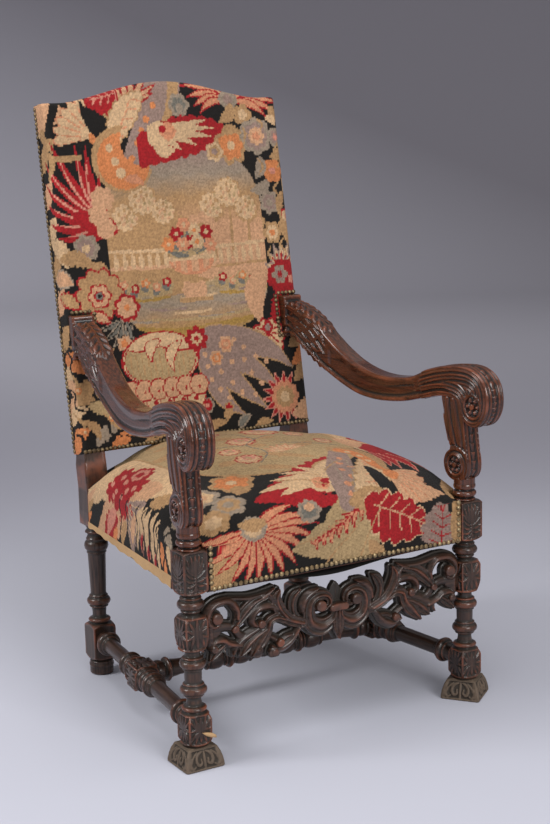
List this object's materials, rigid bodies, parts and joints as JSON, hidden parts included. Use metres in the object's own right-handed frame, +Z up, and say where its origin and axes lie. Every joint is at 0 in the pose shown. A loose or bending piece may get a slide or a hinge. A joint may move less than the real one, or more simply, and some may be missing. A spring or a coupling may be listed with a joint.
{
  "type": "carved armchair",
  "caption": "High-backed carved walnut armchair with turned legs and stretchers, scrolled arms, a pierced front stretcher and a needlepoint seat and back.",
  "frame": {"origin": "on the floor below the middle of the chair", "axes": "+Z up, the sitter faces -Y, +X to the right as seen from the front"},
  "size_m": [0.6882, 0.7647, 1.2032],
  "materials": {
    "walnut": "old dark waxed carved walnut",
    "needlepoint": "coarse wool needlepoint",
    "backing_cloth": "plain woven linen",
    "dust_cloth": "thin black cotton",
    "webbing": "jute webbing",
    "hessian": "open jute sacking",
    "horsehair": "curled horsehair pad",
    "brass_nails": "aged domed brass"
  },
  "bodies": {
    "root": {"arm_left": "walnut", "arm_right": "walnut", "arm_support_left": "walnut", "arm_support_right": "walnut", "back_bottom_rail": "walnut", "back_corner_block_left": "walnut", "back_corner_block_right": "walnut", "back_cover": "needlepoint", "back_crest_rail": "walnut", "back_hessian": "hessian", "back_leg_left": "walnut", "back_leg_right": "walnut", "back_seat_rail": "walnut", "back_stuffing": "horsehair", "back_webbing": "webbing", "cross_stretcher": "walnut", "dust_cloth": "dust_cloth", "front_corner_block_left": "walnut", "front_corner_block_right": "walnut", "front_foot_left": "walnut", "front_foot_right": "walnut", "front_leg_left": "walnut", "front_leg_right": "walnut", "front_seat_rail": "walnut", "front_stretcher": "walnut", "outside_back": "backing_cloth", "seat_cover": "needlepoint", "seat_hessian": "hessian", "seat_stuffing": "horsehair", "seat_webbing": "webbing", "side_lining_left": "backing_cloth", "side_lining_right": "backing_cloth", "side_seat_rail_left": "walnut", "side_seat_rail_right": "walnut", "side_stretcher_left": "walnut", "side_stretcher_right": "walnut"}
  },
  "joints": []
}
